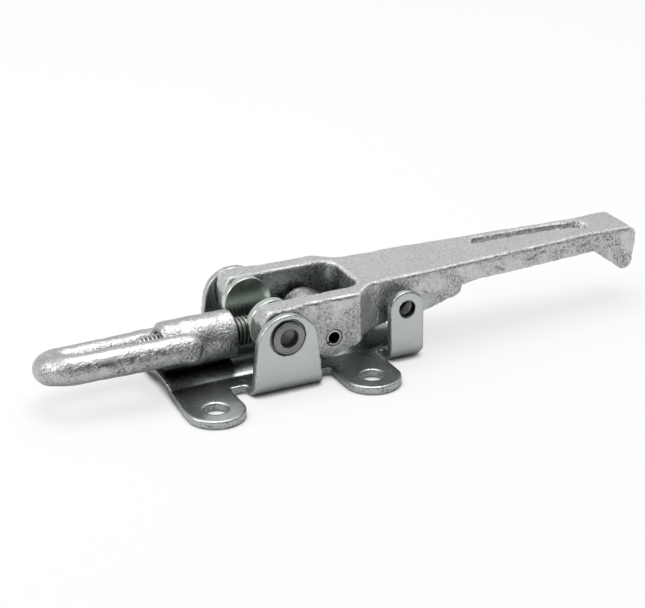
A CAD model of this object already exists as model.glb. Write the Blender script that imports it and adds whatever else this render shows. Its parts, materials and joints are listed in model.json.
import bmesh
import bpy
import json
import math
from mathutils import Matrix, Vector, noise
from mathutils.bvhtree import BVHTree


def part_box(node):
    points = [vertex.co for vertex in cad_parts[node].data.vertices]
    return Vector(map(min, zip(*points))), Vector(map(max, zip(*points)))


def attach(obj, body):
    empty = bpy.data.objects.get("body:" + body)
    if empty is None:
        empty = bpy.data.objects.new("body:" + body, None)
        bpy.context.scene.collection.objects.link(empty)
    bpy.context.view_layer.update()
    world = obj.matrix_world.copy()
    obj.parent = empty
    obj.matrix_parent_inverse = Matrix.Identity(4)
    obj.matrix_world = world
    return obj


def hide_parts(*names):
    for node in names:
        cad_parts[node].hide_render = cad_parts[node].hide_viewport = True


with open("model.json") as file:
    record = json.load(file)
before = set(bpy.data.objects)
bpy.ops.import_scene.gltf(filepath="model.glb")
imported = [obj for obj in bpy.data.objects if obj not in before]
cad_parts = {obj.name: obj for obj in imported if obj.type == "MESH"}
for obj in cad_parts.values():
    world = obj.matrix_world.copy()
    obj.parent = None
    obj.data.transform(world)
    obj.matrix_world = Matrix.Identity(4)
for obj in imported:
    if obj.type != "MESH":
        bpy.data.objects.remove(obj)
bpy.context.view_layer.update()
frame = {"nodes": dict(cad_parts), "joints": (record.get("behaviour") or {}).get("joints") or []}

# ---- base plate -----------------------------------------------------------
# The base is one piece of 4 mm steel sheet, punched, bent up into four ears
# and zinc plated. Its broad faces are smooth and satin, and the sheared edges
# are rough and pitted where the punch has torn through.
mm = 0.001
sheet_thickness = 4.0 * mm
sheet_voxel = 0.6 * mm
sheet_dull = (0.42, 0.45, 0.435)
sheet_bright = (0.56, 0.58, 0.57)
sheet_torn = (0.16, 0.16, 0.15)
sheet_in_recess = (0.72, 0.77, 0.73)
sheet_roughness = 0.27
sheet_relief = 0.05 * mm
tear_size = 1.2 * mm
lock_axis = Vector((64.8, 0, 26.0)) * mm
lock_wall_edge = 4.15 * mm
lock_wall_clear = 4.4 * mm
lock_wall_colour = (0.05, 0.05, 0.048)


def link_sockets(tree, start, end):
    tree.links.new(start, end)


def add_node(tree, kind, inputs=None, **settings):
    """A node with its settings, and its inputs given as values or as links."""
    made = tree.nodes.new(kind)
    for name, value in settings.items():
        setattr(made, name, value)
    for name, value in (inputs or {}).items():
        if isinstance(value, bpy.types.NodeSocket):
            link_sockets(tree, value, made.inputs[name])
        else:
            made.inputs[name].default_value = value
    return made


def add_math(tree, operation, *values, clamp=False):
    """The result of a Math node whose inputs are values or links."""
    inputs = dict(enumerate(values))
    return add_node(tree, "ShaderNodeMath", inputs, operation=operation, use_clamp=clamp).outputs[0]


def add_mask(tree, value, low, high):
    """0 where the value is at low and 1 where it is at high, straight in between."""
    inputs = {"Value": value, "From Min": low, "From Max": high}
    return add_node(tree, "ShaderNodeMapRange", inputs).outputs["Result"]


def add_noise(tree, size, detail, at, roughness=0.5):
    """Noise with features of about the given size."""
    inputs = {"Vector": at, "Scale": 1 / size, "Detail": detail, "Roughness": roughness}
    return add_node(tree, "ShaderNodeTexNoise", inputs).outputs["Fac"]


def add_openness(tree, reach, samples):
    """1 where nothing stands within reach of the surface, and less where it is hemmed in."""
    return add_node(tree, "ShaderNodeAmbientOcclusion", {"Distance": reach}, samples=samples).outputs["AO"]


def add_spread(tree, at, axis):
    """The distance from an axis that lies across the latch."""
    away = add_node(tree, "ShaderNodeVectorMath", {0: at, 1: axis}, operation="SUBTRACT").outputs[0]
    flat = add_node(tree, "ShaderNodeVectorMath", {0: away, 1: (1, 0, 1)}, operation="MULTIPLY").outputs[0]
    return add_node(tree, "ShaderNodeVectorMath", {0: flat}, operation="LENGTH").outputs["Value"]


def add_blend(tree, factor, first, second):
    """A colour blended from first to second, each a colour or a link."""
    blend = add_node(tree, "ShaderNodeMix", {0: factor}, data_type="RGBA")
    for socket, value in ((blend.inputs[6], first), (blend.inputs[7], second)):
        if isinstance(value, bpy.types.NodeSocket):
            link_sockets(tree, value, socket)
        else:
            socket.default_value = (*value, 1)
    return blend.outputs[2]


def add_bump(tree, height, distance, shader):
    """Raises a shader's surface by a height of 0 to 1 times the distance."""
    bump = add_node(tree, "ShaderNodeBump", {"Height": height, "Distance": distance, "Strength": 1.0})
    link_sockets(tree, bump.outputs["Normal"], shader.inputs["Normal"])


def new_group(name, inputs, outputs):
    """An empty shader group with float sockets, and the nodes at its two ends."""
    tree = bpy.data.node_groups.new(name, "ShaderNodeTree")
    for label, value in inputs.items():
        socket = tree.interface.new_socket(label, in_out="INPUT", socket_type="NodeSocketFloat")
        socket.default_value = value
    for label in outputs:
        tree.interface.new_socket(label, in_out="OUTPUT", socket_type="NodeSocketFloat")
    return tree, tree.nodes.new("NodeGroupInput").outputs, tree.nodes.new("NodeGroupOutput").inputs


def place_group(tree, group, name, **values):
    """A shader group set in a material with that material's own values."""
    placed = add_node(tree, "ShaderNodeGroup", node_tree=group, name=name)
    for label, value in values.items():
        placed.inputs[label].default_value = value
    return placed


def eased_copy(node, name, voxel, passes):
    """A closed and evenly meshed copy of a CAD node, with its sharp edges eased."""
    weld_distance = 0.002 * mm
    mesh = frame["nodes"][node].data.copy()
    mesh.materials.clear()
    work = bmesh.new()
    work.from_mesh(mesh)
    bmesh.ops.remove_doubles(work, verts=work.verts, dist=weld_distance)
    work.to_mesh(mesh)
    work.free()
    piece = bpy.data.objects.new(name, mesh)
    bpy.context.scene.collection.objects.link(piece)
    skin = piece.modifiers.new("even skin", "REMESH")
    skin.mode = "VOXEL"
    skin.voxel_size = voxel
    skin.use_smooth_shade = True
    ease = piece.modifiers.new("eased edges", "SMOOTH")
    ease.factor = 0.5
    ease.iterations = passes
    finished = piece.evaluated_get(bpy.context.evaluated_depsgraph_get())
    even_mesh = bpy.data.meshes.new_from_object(finished)
    piece.modifiers.clear()
    piece.data = even_mesh
    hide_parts(node)
    return piece


# Zinc plates thinly and dark in recesses, bores and creases: 0 there and 1 out in the open
recess_reach = 25 * mm
bore_reach = 8 * mm
crease_reach = 2.5 * mm
least_in_bore = 0.2
least_in_crease = 0.5
recess, given, result = new_group("thin_plating", {"Reach": recess_reach}, ("Open",))
sheltered = add_openness(recess, given["Reach"], 6)
bored = add_openness(recess, bore_reach, 4)
creased = add_openness(recess, crease_reach, 4)
bore_mask = add_mask(recess, bored, 0.1, 0.45)
bore_part = add_math(recess, "MULTIPLY_ADD", bore_mask, 1 - least_in_bore, least_in_bore)
crease_mask = add_mask(recess, creased, 0.45, 0.85)
crease_part = add_math(recess, "MULTIPLY_ADD", crease_mask, 1 - least_in_crease, least_in_crease)
narrow_part = add_math(recess, "MULTIPLY", bore_part, crease_part)
wide_part = add_mask(recess, sheltered, 0.0, 0.75)
link_sockets(recess, add_math(recess, "MULTIPLY", wide_part, narrow_part), result["Open"])

# Fine plating texture, shared by every smooth zinc surface
cloud_size = 14 * mm
plating_grain_size = 0.8 * mm
plating, given, result = new_group(
    "zinc_plating", {"Cloud": 1.0, "Grain": 1.0}, ("Tint", "Roughness", "Height")
)
at = add_node(plating, "ShaderNodeTexCoord").outputs["Object"]
cloud = add_noise(plating, cloud_size, 4, at, 0.6)
grain = add_noise(plating, plating_grain_size, 3, at, 0.6)
cloud_part = add_math(plating, "MULTIPLY", add_math(plating, "SUBTRACT", cloud, 0.5), given["Cloud"])
grain_part = add_math(plating, "MULTIPLY", add_math(plating, "SUBTRACT", grain, 0.5), given["Grain"])
both = add_math(plating, "MULTIPLY_ADD", grain_part, 0.35, cloud_part)
link_sockets(plating, add_math(plating, "ADD", both, 0.5, clamp=True), result["Tint"])
link_sockets(plating, both, result["Roughness"])
link_sockets(plating, grain_part, result["Height"])


def zinc_finish(name):
    """A new metal material: itself, its tree, its shader and its object coordinates."""
    made = bpy.data.materials.new(name)
    made.use_nodes = True
    metal = made.node_tree.nodes["Principled BSDF"]
    metal.inputs["Metallic"].default_value = 1.0
    coordinates = add_node(made.node_tree, "ShaderNodeTexCoord").outputs["Object"]
    return made, made.node_tree, metal, coordinates


def plate_colour(tree, shader, colour, in_recess):
    """Gives a shader its colour, which falls to a share of itself deep in recesses."""
    opened = place_group(tree, recess, "recess").outputs["Open"]
    share = add_blend(tree, opened, in_recess, (1.0, 1.0, 1.0))
    share.node.name = "share"
    dull = add_node(tree, "ShaderNodeMix", data_type="RGBA", blend_type="MULTIPLY")
    dull.inputs[0].default_value = 1.0
    link_sockets(tree, colour, dull.inputs[6])
    link_sockets(tree, share, dull.inputs[7])
    link_sockets(tree, dull.outputs[2], shader.inputs["Base Color"])


plate = eased_copy("base_plate", "base_sheet", sheet_voxel, 2)

# A point lies on a sheared edge where the steel behind it is thicker than the sheet
skin_depth = 0.2 * mm
look_through = 1.25 * sheet_thickness
walls = BVHTree.FromObject(plate, bpy.context.evaluated_depsgraph_get())
sheared = plate.data.attributes.new("sheared_edge", "FLOAT", "POINT")
for point in plate.data.vertices:
    start = point.co - point.normal * skin_depth
    hit = walls.ray_cast(start, -point.normal, look_through)
    sheared.data[point.index].value = 0.0 if hit[0] else 1.0

material, tree, shader, at = zinc_finish("plated_sheet")
skin = place_group(tree, plating, "skin", Cloud=0.9, Grain=0.5)
torn = add_node(tree, "ShaderNodeAttribute", attribute_name="sheared_edge").outputs["Fac"]
tear_noise = add_noise(tree, tear_size, 4, at, 0.7)
torn_pits = add_math(tree, "MULTIPLY", torn, add_mask(tree, tear_noise, 0.55, 0.64))
broad = add_blend(tree, skin.outputs["Tint"], sheet_dull, sheet_bright)
plain = add_blend(tree, torn_pits, broad, sheet_torn)
# The walls of the lock holes stay dark
lock_wall = add_mask(tree, add_spread(tree, at, lock_axis), lock_wall_clear, lock_wall_edge)
plate_colour(tree, shader, add_blend(tree, lock_wall, plain, lock_wall_colour), sheet_in_recess)
rough = add_math(tree, "MULTIPLY_ADD", skin.outputs["Roughness"], 0.25, sheet_roughness)
link_sockets(tree, add_math(tree, "MULTIPLY_ADD", torn, 0.12, rough), shader.inputs["Roughness"])
relief = add_math(tree, "MULTIPLY_ADD", torn_pits, -1.6, skin.outputs["Height"])
add_bump(tree, relief, sheet_relief, shader)
plate.data.materials.append(material)
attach(plate, "base")

# ---- lever ----------------------------------------------------------------
# The lever is one steel drop forging: a fork round the draw rod, a neck and a
# long handle with a turned-down tip. The skin is grainy and pitted under its
# zinc, and its edges are battered bright.
forging_voxel = 0.56 * mm
pit_colour = (0.15, 0.155, 0.145)
worn_colour = (0.78, 0.79, 0.78)
lever_dull = (0.4, 0.415, 0.4)
lever_bright = (0.72, 0.73, 0.72)
lever_in_recess = (0.28, 0.31, 0.28)
groove_in_recess = (0.95, 0.96, 0.95)
lever_grain = 1.5
lever_pits = 0.75
battered_from = 160 * mm
battered_full = 192 * mm
handle_from = 100 * mm
handle_full = 115 * mm
dull_centre = lock_axis + Vector((3.5, 0, -3.5)) * mm
dull_full = 4 * mm
dull_clear = 9.5 * mm
dull_colour = (0.12, 0.125, 0.115)


def hammer(piece, node, swell, swell_size, wear, wear_size):
    """Gives a forging its uneven faces and its unevenly worn edges, inside its CAD node's box."""
    usual_wear = 0.3
    chip_contrast = 1.8
    small_chips = 0.6
    small_chip_size = 0.4 * wear_size
    soften = piece.modifiers.new("worn edges", "SMOOTH")
    soften.factor = 0.5
    soften.iterations = wear
    worn = piece.evaluated_get(bpy.context.evaluated_depsgraph_get()).data.vertices
    low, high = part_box(node)
    moved = []
    edges = []
    for point, rubbed in zip(piece.data.vertices, worn):
        edges.append((point.co - rubbed.co).dot(point.normal) / mm)
        chips = noise.noise(point.co / wear_size) + small_chips * noise.noise(point.co / small_chip_size)
        share = min(1.0, max(0.0, usual_wear + chip_contrast * chips))
        place = point.co.lerp(rubbed.co, share)
        place += point.normal * swell * noise.noise(point.co / swell_size)
        moved.extend(min(max(value, least), most) for value, least, most in zip(place, low, high))
    piece.modifiers.clear()
    piece.data.vertices.foreach_set("co", moved)
    piece.data.update()
    piece.data.attributes.new("edge", "FLOAT", "POINT").data.foreach_set("value", edges)


lever = eased_copy("lever", "lever_forging", forging_voxel, 2)
hammer(lever, "lever", swell=0.2 * mm, swell_size=9 * mm, wear=20, wear_size=4 * mm)

# Nicks in the near side of the handle, from one place to another, each x and z in mm
handle_nicks = (
    ((137.1, 33.1), (141.6, 34.6)),
    ((144.0, 35.2), (146.4, 35.7)),
    ((118.4, 33.3), (123.0, 30.8)),
    ((78.5, 29.0), (81.0, 26.6)),
)
nick_width = 0.7 * mm
nick_depth = 0.35 * mm
depths = [0.0] * len(lever.data.vertices)
for first, last in handle_nicks:
    start = Vector((first[0], 0, first[1])) * mm
    run = Vector((last[0], 0, last[1])) * mm - start
    for point in lever.data.vertices:
        away = Vector((point.co.x, 0, point.co.z)) - start
        along = min(1.0, max(0.0, away.dot(run) / run.length_squared))
        reach = 1 - (away - along * run).length / nick_width
        if point.co.y < 0 and reach > depths[point.index]:
            depths[point.index] = reach
cut_in = []
for point, depth in zip(lever.data.vertices, depths):
    cut_in.extend(point.co - point.normal * depth * nick_depth)
lever.data.vertices.foreach_set("co", cut_in)
lever.data.update()
lever.data.attributes.new("nick", "FLOAT", "POINT").data.foreach_set("value", depths)

# Skin of a zinc plated forging, shared by the lever, the link and the rod's eye.
# Its grain is coarse in patches, and finer on the broad faces that are rubbed.
patch_size = 10 * mm
fine_grain_size = 1.3 * mm
medium_grain_size = 3.2 * mm
speck_size = 1.2 * mm
tint_cloud_size = 16 * mm
forged, given, result = new_group(
    "forged_skin", {"Grain": 1.0, "Pits": 1.0, "Rubbed": 0.0}, ("Tint", "Pits", "Roughness", "Height")
)
at = add_node(forged, "ShaderNodeTexCoord").outputs["Object"]
patches = add_mask(forged, add_noise(forged, patch_size, 3, at), 0.36, 0.64)
fine = add_noise(forged, fine_grain_size, 2, at, 0.6)
medium = add_noise(forged, medium_grain_size, 2, at)
medium_part = add_math(forged, "MULTIPLY", medium, 0.15)
grain = add_math(forged, "ADD", add_math(forged, "MULTIPLY", fine, 0.85), medium_part)
fresh = add_math(forged, "SUBTRACT", 1.0, add_math(forged, "MULTIPLY", given["Rubbed"], 0.8))
speck = add_mask(forged, add_noise(forged, speck_size, 2, at, 0.7), 0.52, 0.62)
speck_part = add_math(forged, "MULTIPLY", add_math(forged, "MULTIPLY", speck, patches), fresh)
pits = add_math(forged, "MULTIPLY", speck_part, given["Pits"], clamp=True)
cloud = add_noise(forged, tint_cloud_size, 3, at)
grain_tint = add_math(forged, "MULTIPLY", add_mask(forged, grain, 0.32, 0.68), 0.7)
tint = add_math(forged, "ADD", grain_tint, add_math(forged, "MULTIPLY", cloud, 0.3))
coarse = add_math(forged, "MULTIPLY", add_math(forged, "MULTIPLY_ADD", patches, 0.7, 0.3), fresh)
graininess = add_math(forged, "MULTIPLY", add_math(forged, "MULTIPLY", grain, coarse), given["Grain"])
link_sockets(forged, tint, result["Tint"])
link_sockets(forged, pits, result["Pits"])
link_sockets(forged, add_math(forged, "MULTIPLY", grain, 0.3), result["Roughness"])
link_sockets(forged, add_math(forged, "MULTIPLY_ADD", pits, -0.3, graininess), result["Height"])


def forged_material(name, grain, pits, rubbed, rubbed_from, dull, bright, in_recess):
    """A zinc plated forging's material, with edges worn brighter than its flats."""
    least_roughness = 0.16
    skin_relief = 0.55 * mm
    wear_patch_size = 1.6 * mm
    material, tree, shader, at = zinc_finish(name)
    facing = add_node(tree, "ShaderNodeTexCoord").outputs["Normal"]
    upward = add_node(tree, "ShaderNodeSeparateXYZ", {"Vector": facing}).outputs["Z"]
    skin = place_group(tree, forged, "skin", Grain=grain, Pits=pits)
    top = add_mask(tree, upward, rubbed_from, 0.97)
    link_sockets(tree, add_math(tree, "MULTIPLY", top, rubbed), skin.inputs["Rubbed"])
    edge = add_node(tree, "ShaderNodeAttribute", attribute_name="edge").outputs["Fac"]
    patchy = add_mask(tree, add_noise(tree, wear_patch_size, 3, at), 0.36, 0.5)
    worn = add_math(tree, "MULTIPLY", add_mask(tree, edge, 0.08, 0.22), patchy)
    base = add_blend(tree, skin.outputs["Tint"], dull, bright)
    nicked = add_node(tree, "ShaderNodeAttribute", attribute_name="nick").outputs["Fac"]
    marked = add_math(tree, "MAXIMUM", skin.outputs["Pits"], nicked)
    pitted = add_blend(tree, marked, base, pit_colour)
    plate_colour(tree, shader, add_blend(tree, worn, pitted, worn_colour), in_recess)
    link_sockets(tree, add_math(tree, "MULTIPLY_ADD", worn, -0.7, 1.0), shader.inputs["Metallic"])
    rough = add_math(tree, "MULTIPLY_ADD", worn, 0.25, least_roughness)
    link_sockets(tree, add_math(tree, "ADD", skin.outputs["Roughness"], rough), shader.inputs["Roughness"])
    add_bump(tree, skin.outputs["Height"], skin_relief, shader)
    return material


material = forged_material(
    "lever_skin", grain=lever_grain, pits=lever_pits, rubbed=1.0, rubbed_from=0.8,
    dull=lever_dull, bright=lever_bright, in_recess=lever_in_recess
)
lever.data.materials.append(material)
tree = material.node_tree
skin = tree.nodes["skin"]
shader = tree.nodes["Principled BSDF"]
at = add_node(tree, "ShaderNodeTexCoord").outputs["Object"]
along = add_node(tree, "ShaderNodeSeparateXYZ", {"Vector": at}).outputs["X"]
# The tip is battered the most
battered = add_mask(tree, along, battered_from, battered_full)
link_sockets(tree, add_math(tree, "MULTIPLY_ADD", battered, 0.45, lever_pits), skin.inputs["Pits"])
link_sockets(tree, add_math(tree, "MULTIPLY_ADD", battered, 0.6, lever_grain), skin.inputs["Grain"])
# The handle's groove is shallow and open enough to be plated nearly as bright as its top, but matt
handle = add_mask(tree, along, handle_from, handle_full)
in_recess = add_blend(tree, handle, lever_in_recess, groove_in_recess)
link_sockets(tree, in_recess, tree.nodes["share"].inputs[6])
hemmed_in = add_mask(tree, tree.nodes["recess"].outputs["Open"], 0.9, 0.4)
matt = add_math(tree, "MULTIPLY", hemmed_in, handle)
unworn = shader.inputs["Metallic"].links[0].from_socket
link_sockets(tree, add_math(tree, "MULTIPLY_ADD", matt, -0.65, unworn, clamp=True), shader.inputs["Metallic"])
# The plating is dull between the rear ears, round the lock pin's hole
plated = shader.inputs["Base Color"].links[0].from_socket
round_lock = add_mask(tree, add_spread(tree, at, dull_centre), dull_clear, dull_full)
link_sockets(tree, add_blend(tree, round_lock, plated, dull_colour), shader.inputs["Base Color"])
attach(lever, "lever")

# ---- pivot rivets ---------------------------------------------------------
# Two stub rivets are closed up through the fork's arms and turn in the ears.
# They are turned steel, smooth and zinc plated, with a polished inner head.
rivet_axis = Vector(next(joint["pos_m"] for joint in frame["joints"] if joint["name"] == "lever_pivot"))
outer_end_from = 26 * mm
outer_end_full = 27 * mm
turning_pitch = 1.1 * mm
turning_relief = 0.03 * mm
head_dull = (0.48, 0.54, 0.5)
head_bright = (0.64, 0.69, 0.65)
end_dull = (0.2, 0.205, 0.2)
end_bright = (0.32, 0.325, 0.32)
rivet_in_recess = (0.9, 1.0, 0.92)
material, tree, shader, at = zinc_finish("rivet_zinc")
skin = place_group(tree, plating, "skin", Cloud=0.8, Grain=0.35)
across = add_math(tree, "ABSOLUTE", add_node(tree, "ShaderNodeSeparateXYZ", {"Vector": at}).outputs["Y"])
outer_end = add_mask(tree, across, outer_end_from, outer_end_full)
polished = add_blend(tree, skin.outputs["Tint"], head_dull, head_bright)
turned = add_blend(tree, skin.outputs["Tint"], end_dull, end_bright)
plate_colour(tree, shader, add_blend(tree, outer_end, polished, turned), rivet_in_recess)
turned_roughness = add_math(tree, "MULTIPLY_ADD", outer_end, 0.16, 0.22)
rough = add_math(tree, "MULTIPLY_ADD", skin.outputs["Roughness"], 0.2, turned_roughness)
link_sockets(tree, rough, shader.inputs["Roughness"])
# Turning marks ring the outer ends
turns = add_math(tree, "DIVIDE", add_spread(tree, at, rivet_axis), turning_pitch / math.tau)
marks = add_math(tree, "MULTIPLY", add_math(tree, "SINE", turns), outer_end)
relief = add_math(tree, "MULTIPLY_ADD", marks, 2.0, skin.outputs["Height"])
add_bump(tree, relief, turning_relief, shader)
for name in ("pivot_rivet_left", "pivot_rivet_right"):
    frame["nodes"][name].data.materials.clear()
    frame["nodes"][name].data.materials.append(material)

# ---- spring pin -----------------------------------------------------------
# A rolled and slit spring steel pin is driven through both arms and carries
# the draw rod. Its ends are chamfered bright and its inside is dull.
pin_dull = (0.46, 0.48, 0.46)
pin_bright = (0.64, 0.66, 0.64)
pin_in_recess = (0.3, 0.33, 0.3)
pin_roughness = 0.34
pin_relief = 0.04 * mm
material, tree, shader, _ = zinc_finish("pin_zinc")
skin = place_group(tree, plating, "skin", Cloud=0.8, Grain=0.6)
rolled = add_blend(tree, skin.outputs["Tint"], pin_dull, pin_bright)
plate_colour(tree, shader, rolled, pin_in_recess)
shader.inputs["Roughness"].default_value = pin_roughness
add_bump(tree, skin.outputs["Height"], pin_relief, shader)
frame["nodes"]["spring_pin"].data.materials.clear()
frame["nodes"]["spring_pin"].data.materials.append(material)

# ---- draw rod -------------------------------------------------------------
# The draw rod is a forged eye, which turns on the spring pin, with a rolled
# M14 thread on its shank. The thread is a cut surface, brighter than the eye.
pin_axis = Vector(next(joint["pos_m"] for joint in frame["joints"] if joint["name"] == "rod_swing"))
rod_low, rod_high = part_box("draw_rod")
eye_radius = rod_high.x - pin_axis.x
eye_voxel = 0.5 * mm
neck_length = 2.5 * mm
thread_radius = 7.0 * mm
thread_root = 5.75 * mm
thread_pitch = 2.0 * mm
thread_chamfer = 1.2 * mm
thread_dull = (0.5, 0.52, 0.5)
thread_bright = (0.68, 0.7, 0.68)
thread_in_recess = (0.1, 0.11, 0.1)
thread_roughness = 0.3
thread_relief = 0.03 * mm
eye_dull = (0.46, 0.48, 0.47)
eye_bright = (0.7, 0.71, 0.7)
eye_in_recess = (0.28, 0.31, 0.28)
thread_start = eye_radius + neck_length
thread_length = pin_axis.x - rod_low.x - thread_start

eye = eased_copy("draw_rod", "rod_eye", eye_voxel, 3)
cut = bmesh.new()
cut.from_mesh(eye.data)
bmesh.ops.bisect_plane(
    cut, geom=cut.verts[:] + cut.edges[:] + cut.faces[:], plane_co=(pin_axis.x - thread_start, 0, 0),
    plane_no=(-1, 0, 0), clear_outer=True
)
bmesh.ops.holes_fill(cut, edges=[edge for edge in cut.edges if edge.is_boundary])
cut.to_mesh(eye.data)
cut.free()
hammer(eye, "draw_rod", swell=0.15 * mm, swell_size=8 * mm, wear=8, wear_size=4 * mm)
eye.data.materials.append(forged_material(
    "rod_eye_skin", grain=1.0, pits=0.5, rubbed=0.0, rubbed_from=0.8,
    dull=eye_dull, bright=eye_bright, in_recess=eye_in_recess
))
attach(eye, "rod")

material, tree, shader, _ = zinc_finish("thread_zinc")
skin = place_group(tree, plating, "skin", Cloud=0.8, Grain=0.5)
rolled = add_blend(tree, skin.outputs["Tint"], thread_dull, thread_bright)
plate_colour(tree, shader, rolled, thread_in_recess)
shader.inputs["Roughness"].default_value = thread_roughness
add_bump(tree, skin.outputs["Height"], thread_relief, shader)

threading = bpy.data.node_groups.new("rolled_thread", "GeometryNodeTree")
for label, kind in (
    ("Crest Radius", "NodeSocketFloat"), ("Root Radius", "NodeSocketFloat"), ("Pitch", "NodeSocketFloat"),
    ("Length", "NodeSocketFloat"), ("Tip Chamfer", "NodeSocketFloat"), ("Start", "NodeSocketVector"),
    ("Rows per Turn", "NodeSocketFloat"), ("Sides", "NodeSocketInt"), ("Finish", "NodeSocketMaterial"),
):
    threading.interface.new_socket(label, in_out="INPUT", socket_type=kind)
threading.interface.new_socket("Geometry", in_out="OUTPUT", socket_type="NodeSocketGeometry")
given = threading.nodes.new("NodeGroupInput").outputs

# A plain bar on its end, with rows of points close enough to follow the thread
turn_count = add_math(threading, "DIVIDE", given["Length"], given["Pitch"])
rows = add_math(threading, "MULTIPLY", turn_count, given["Rows per Turn"])
bar = add_node(threading, "GeometryNodeMeshCylinder", {
    "Vertices": given["Sides"], "Side Segments": rows,
    "Radius": given["Crest Radius"], "Depth": given["Length"],
}).outputs["Mesh"]
position = add_node(threading, "GeometryNodeInputPosition").outputs["Position"]
place = add_node(threading, "ShaderNodeSeparateXYZ", {"Vector": position}).outputs

# The phase rises by one along each pitch and round each turn, and makes the crests and roots
angle = add_math(threading, "ARCTAN2", place["Y"], place["X"])
turn = add_math(threading, "DIVIDE", angle, math.tau)
climb = add_math(threading, "DIVIDE", place["Z"], given["Pitch"])
phase = add_math(threading, "FRACT", add_math(threading, "ADD", climb, turn))
ramp = add_math(threading, "ABSOLUTE", add_math(threading, "MULTIPLY_ADD", phase, 2.0, -1.0))
flank = add_mask(threading, ramp, 0.12, 0.86)
height = add_math(threading, "SUBTRACT", given["Crest Radius"], given["Root Radius"])
threaded = add_math(threading, "MULTIPLY_ADD", flank, height, given["Root Radius"])

# The tip is chamfered
to_tip = add_math(threading, "SUBTRACT", add_math(threading, "DIVIDE", given["Length"], 2.0), place["Z"])
chamfer = add_math(threading, "SUBTRACT", given["Crest Radius"], given["Tip Chamfer"])
radius = add_math(threading, "MINIMUM", threaded, add_math(threading, "ADD", chamfer, to_tip))
share = add_math(threading, "DIVIDE", radius, given["Crest Radius"])
stretch = add_node(threading, "ShaderNodeCombineXYZ", {
    "X": add_math(threading, "MULTIPLY", place["X"], share),
    "Y": add_math(threading, "MULTIPLY", place["Y"], share), "Z": place["Z"],
}).outputs["Vector"]
cut_bar = add_node(threading, "GeometryNodeSetPosition", {"Geometry": bar, "Position": stretch})
laid = add_node(threading, "GeometryNodeTransform", {
    "Geometry": cut_bar.outputs["Geometry"], "Translation": given["Start"],
    "Rotation": (0, math.radians(-90), 0),
})
smooth = add_node(
    threading, "GeometryNodeSetShadeSmooth", {"Geometry": laid.outputs["Geometry"], "Shade Smooth": True}
)
whole = add_node(threading, "GeometryNodeRealizeInstances", {"Geometry": smooth.outputs["Geometry"]})
finished = add_node(
    threading, "GeometryNodeSetMaterial", {"Geometry": whole.outputs["Geometry"], "Material": given["Finish"]}
)
made = threading.nodes.new("NodeGroupOutput").inputs["Geometry"]
link_sockets(threading, finished.outputs["Geometry"], made)

thread = bpy.data.objects.new("rod_thread", bpy.data.meshes.new("rod_thread"))
bpy.context.scene.collection.objects.link(thread)
maker = thread.modifiers.new("rolled thread", "NODES")
maker.node_group = threading
sizes = {
    "Crest Radius": thread_radius, "Root Radius": thread_root, "Pitch": thread_pitch, "Length": thread_length,
    "Tip Chamfer": thread_chamfer, "Start": pin_axis - Vector((thread_start + thread_length / 2, 0, 0)),
    "Rows per Turn": 12.0, "Sides": 48, "Finish": material,
}
for socket in threading.interface.items_tree:
    if socket.in_out == "INPUT":
        maker[socket.identifier] = sizes[socket.name]
thread.data = bpy.data.meshes.new_from_object(thread.evaluated_get(bpy.context.evaluated_depsgraph_get()))
thread.modifiers.clear()
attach(thread, "rod")

# ---- link -----------------------------------------------------------------
# The link is a forged loop on a threaded barrel, which screws along the rod to
# set the latch's reach. It has the roughest skin, with a dark scaly side.
link_voxel = 0.5 * mm
link_dull = (0.38, 0.39, 0.375)
link_bright = (0.58, 0.59, 0.58)
link_in_recess = (0.06, 0.065, 0.06)
link = eased_copy("link", "link_forging", link_voxel, 3)
hammer(link, "link", swell=0.25 * mm, swell_size=6 * mm, wear=10, wear_size=4 * mm)
link.data.materials.append(forged_material(
    "link_skin", grain=1.7, pits=0.9, rubbed=0.85, rubbed_from=0.35,
    dull=link_dull, bright=link_bright, in_recess=link_in_recess
))
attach(link, "link")

# ---- studio ---------------------------------------------------------------
# A pale floor, a white surround and two soft lamps. The surround is darker
# low down on one side, so that round steel shows a dark band as in a studio.
floor_half = 4.0
paper_tone = 0.72
paper_glow = 0.72
shadow_reach = 6 * mm
floor_mesh = bpy.data.meshes.new("studio_floor")
corners = [(x * floor_half, y * floor_half, 0) for x, y in ((-1, -1), (1, -1), (1, 1), (-1, 1))]
floor_mesh.from_pydata(corners, [], [(0, 1, 2, 3)])
studio_floor = bpy.data.objects.new("studio_floor", floor_mesh)
bpy.context.scene.collection.objects.link(studio_floor)
material = bpy.data.materials.new("floor_paper")
material.use_nodes = True
tree = material.node_tree
paper = tree.nodes["Principled BSDF"]
paper.inputs["Base Color"].default_value = (paper_tone, paper_tone, paper_tone, 1)
paper.inputs["Roughness"].default_value = 1.0
paper.inputs["Specular IOR Level"].default_value = 0.0
glow = add_node(tree, "ShaderNodeEmission", {"Color": (1, 1, 1, 1), "Strength": 1.0})
seen = add_node(tree, "ShaderNodeLightPath").outputs["Is Camera Ray"]
# The paper's glow stops close under the steel and inside the mounting holes
clear = add_mask(tree, add_openness(tree, shadow_reach, 8), 0.45, 0.75)
share = add_math(tree, "MULTIPLY", add_math(tree, "MULTIPLY", seen, paper_glow), clear)
mixed = add_node(tree, "ShaderNodeMixShader", {0: share, 1: paper.outputs[0], 2: glow.outputs[0]})
link_sockets(tree, mixed.outputs[0], tree.nodes["Material Output"].inputs["Surface"])
floor_mesh.materials.append(material)

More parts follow.
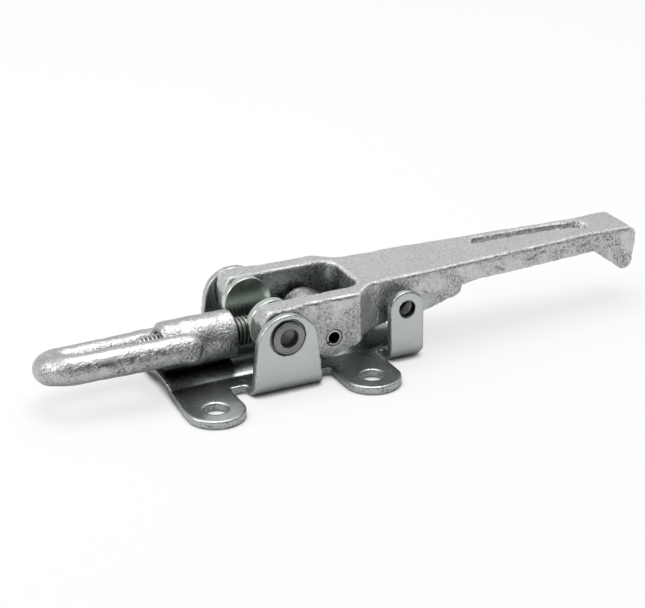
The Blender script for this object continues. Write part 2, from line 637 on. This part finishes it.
dark_toward = (0.35, -0.92, 0.17)
dark_depth = 0.93
sky_low = 0.6
sky_rise = 0.35
world = bpy.data.worlds.new("studio_surround")
bpy.context.scene.world = world
world.use_nodes = True
tree = world.node_tree
background = tree.nodes["Background"]
toward = add_node(tree, "ShaderNodeTexCoord").outputs["Generated"]
height = add_node(tree, "ShaderNodeSeparateXYZ", {"Vector": toward}).outputs["Z"]
front = add_node(tree, "ShaderNodeVectorMath", {0: toward, 1: dark_toward}, operation="DOT_PRODUCT")
dark_front = add_mask(tree, front.outputs["Value"], 0.15, 0.7)
dark_side = add_math(tree, "MULTIPLY", dark_front, add_mask(tree, height, 0.8, 0.5))
sky = add_math(tree, "MULTIPLY_ADD", add_mask(tree, height, -0.1, 0.7), sky_rise, sky_low)
lit = add_math(tree, "MULTIPLY", sky, add_math(tree, "MULTIPLY_ADD", dark_side, -dark_depth, 1.0))
seen = add_node(tree, "ShaderNodeLightPath").outputs["Is Camera Ray"]
link_sockets(tree, add_math(tree, "MAXIMUM", lit, seen), background.inputs["Strength"])
background.inputs["Color"].default_value = (1, 1, 1, 1)


def soft_lamp(name, place, aim, size, power):
    """A square soft lamp at a place, turned to what it lights."""
    lamp = bpy.data.lights.new(name, "AREA")
    lamp.size = size
    lamp.energy = power
    holder = bpy.data.objects.new(name, lamp)
    holder.location = place
    holder.rotation_euler = (Vector(aim) - Vector(place)).to_track_quat("-Z", "Y").to_euler()
    bpy.context.scene.collection.objects.link(holder)


soft_lamp("top_lamp", (0.1, 0.25, 1.3), (0.05, 0, 0), 0.9, 9)
soft_lamp("side_lamp", (-1.0, 0.3, 0.7), (0.0, 0, 0.02), 0.6, 5)

# ---- camera ---------------------------------------------------------------
# The view is from the front left and a little above, with a long lens.
view_azimuth = math.radians(25.37)
view_elevation = math.radians(23.83)
view_roll = math.radians(-0.49)
camera_place = Vector((-363.28, -836.39, 433.36)) * mm
ahead = Vector((
    math.sin(view_azimuth) * math.cos(view_elevation),
    math.cos(view_azimuth) * math.cos(view_elevation),
    -math.sin(view_elevation),
))
level = Vector((math.cos(view_azimuth), -math.sin(view_azimuth), 0))
upright = level.cross(ahead)
camera_right = math.cos(view_roll) * level + math.sin(view_roll) * upright
camera_up = math.cos(view_roll) * upright - math.sin(view_roll) * level
turned_to = Matrix((camera_right, camera_up, -ahead)).transposed().to_4x4()
camera_data = bpy.data.cameras.new("camera")
camera_data.sensor_width = 36.0
camera_data.lens = 119.93
camera_data.clip_start = 0.01
camera_data.clip_end = 50.0
camera = bpy.data.objects.new("camera", camera_data)
camera.matrix_world = Matrix.Translation(camera_place) @ turned_to
bpy.context.scene.collection.objects.link(camera)
bpy.context.scene.camera = camera
bpy.context.scene.view_settings.view_transform = "Standard"
